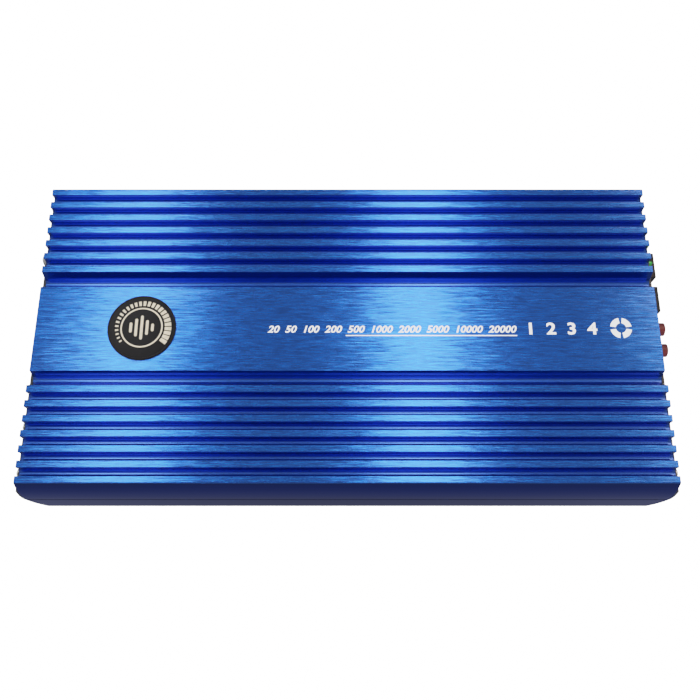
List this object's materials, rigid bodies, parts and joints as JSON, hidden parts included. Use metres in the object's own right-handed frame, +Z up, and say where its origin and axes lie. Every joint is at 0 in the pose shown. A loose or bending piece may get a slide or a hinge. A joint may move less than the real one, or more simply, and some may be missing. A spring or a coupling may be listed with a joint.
{
  "type": "car amplifier",
  "caption": "Multi-channel car amplifier in a finned blue extruded housing, with RCA inputs, speaker sockets, controls, fuses and power terminals on its two ends.",
  "frame": {"origin": "middle of the underside, on the base plate's lower face", "axes": "+X along the fins, towards the end with the RCA jacks; +Y across the fins, towards the speaker sockets; +Z up out of the fins"},
  "size_m": [0.412, 0.2014, 0.06],
  "materials": {
    "blue_aluminium": "blue anodised, brushed along its length",
    "black_steel": "satin black powder coat",
    "zinc_steel": "zinc plated",
    "nickel_steel": "nickel plated",
    "plain_aluminium": "mill finish",
    "emblem_black": "gloss black",
    "cream_enamel": "cream print under clear lacquer",
    "circuit_board": "green solder mask",
    "ferrite": "matt painted ferrite",
    "choke_powder": "yellow painted iron powder",
    "copper_wire": "enamelled copper",
    "capacitor_sleeve": "dark blue shrink sleeve",
    "cement_white": "white cement",
    "epoxy_black": "moulded epoxy",
    "silicone_grey": "grey silicone",
    "black_plastic": "moulded nylon",
    "knob_plastic": "moulded, fine texture",
    "red_plastic": "moulded red",
    "white_plastic": "moulded white",
    "green_lens": "tinted lens",
    "fuse_green": "tinted plastic",
    "tinned_metal": "tin plated",
    "gilt_brass": "gilt"
  },
  "bodies": {
    "amplifier": {"heatsink": "blue_aluminium", "base_plate": "black_steel", "base_screws": "zinc_steel", "left_end_plate": "black_steel", "right_end_plate": "black_steel", "left_end_screws": "nickel_steel", "right_end_screws": "nickel_steel", "earth_screw": "nickel_steel", "earth_washer": "nickel_steel", "emblem_disc": "emblem_black", "emblem_inlay": "cream_enamel", "main_board": "circuit_board", "board_screws": "zinc_steel", "toroid_core": "ferrite", "toroid_windings": "copper_wire", "choke_core": "choke_powder", "choke_winding": "copper_wire", "battery_capacitors": "capacitor_sleeve", "rail_capacitors": "capacitor_sleeve", "signal_capacitors": "capacitor_sleeve", "emitter_resistors": "cement_white", "control_chips": "epoxy_black", "front_output_transistors": "epoxy_black", "rear_output_transistors": "epoxy_black", "supply_transistors": "epoxy_black", "front_insulator_strip": "silicone_grey", "rear_insulator_strip": "silicone_grey", "front_clamp_bar": "plain_aluminium", "rear_clamp_bar": "plain_aluminium", "clamp_screws": "zinc_steel", "rca_housing": "black_plastic", "red_rca_shells": "red_plastic", "white_rca_shells": "white_plastic", "rca_sleeves": "nickel_steel", "rca_centre_contacts": "gilt_brass", "front_speaker_socket": "black_plastic", "rear_speaker_socket": "black_plastic", "speaker_socket_pins": "tinned_metal", "power_light": "green_lens", "potentiometers": "black_plastic", "switch_housings": "tinned_metal", "power_terminal_housing": "black_plastic", "power_contact_plates": "gilt_brass", "fuse_holder": "black_plastic", "fuse_clips": "tinned_metal"},
    "front_gain_knob": {"front_gain_knob": "knob_plastic"},
    "rear_gain_knob": {"rear_gain_knob": "knob_plastic"},
    "low_pass_knob": {"low_pass_knob": "knob_plastic"},
    "high_pass_knob": {"high_pass_knob": "knob_plastic"},
    "front_filter_slider": {"front_filter_slider": "black_plastic"},
    "rear_filter_slider": {"rear_filter_slider": "black_plastic"},
    "battery_screw": {"battery_screw": "nickel_steel"},
    "remote_screw": {"remote_screw": "nickel_steel"},
    "ground_screw": {"ground_screw": "nickel_steel"},
    "first_fuse": {"first_fuse_body": "fuse_green", "first_fuse_blades": "tinned_metal"},
    "second_fuse": {"second_fuse_body": "fuse_green", "second_fuse_blades": "tinned_metal"}
  },
  "joints": [
    {"name": "front_gain_knob_turn", "type": "hinge", "parent": "amplifier", "child": "front_gain_knob", "pos_m": [0.19, -0.068, 0.034], "axis": [-1, 0, 0], "range_deg": [-150, 150]},
    {"name": "rear_gain_knob_turn", "type": "hinge", "parent": "amplifier", "child": "rear_gain_knob", "pos_m": [0.19, -0.054, 0.034], "axis": [-1, 0, 0], "range_deg": [-150, 150]},
    {"name": "low_pass_knob_turn", "type": "hinge", "parent": "amplifier", "child": "low_pass_knob", "pos_m": [0.19, -0.04, 0.034], "axis": [-1, 0, 0], "range_deg": [-150, 150]},
    {"name": "high_pass_knob_turn", "type": "hinge", "parent": "amplifier", "child": "high_pass_knob", "pos_m": [0.19, -0.026, 0.034], "axis": [-1, 0, 0], "range_deg": [-150, 150]},
    {"name": "front_filter_slider_slide", "type": "slide", "parent": "amplifier", "child": "front_filter_slider", "axis": [0, 1, 0], "range_m": [-0.002, 0.002]},
    {"name": "rear_filter_slider_slide", "type": "slide", "parent": "amplifier", "child": "rear_filter_slider", "axis": [0, 1, 0], "range_m": [-0.002, 0.002]},
    {"name": "battery_screw_back_out", "type": "slide", "parent": "amplifier", "child": "battery_screw", "axis": [-1, 0, 0], "range_m": [0, 0.0035]},
    {"name": "remote_screw_back_out", "type": "slide", "parent": "amplifier", "child": "remote_screw", "axis": [-1, 0, 0], "range_m": [0, 0.0035]},
    {"name": "ground_screw_back_out", "type": "slide", "parent": "amplifier", "child": "ground_screw", "axis": [-1, 0, 0], "range_m": [0, 0.0035]},
    {"name": "first_fuse_pull", "type": "slide", "parent": "amplifier", "child": "first_fuse", "axis": [-1, 0, 0], "range_m": [0, 0.014]},
    {"name": "second_fuse_pull", "type": "slide", "parent": "amplifier", "child": "second_fuse", "axis": [-1, 0, 0], "range_m": [0, 0.014]}
  ]
}
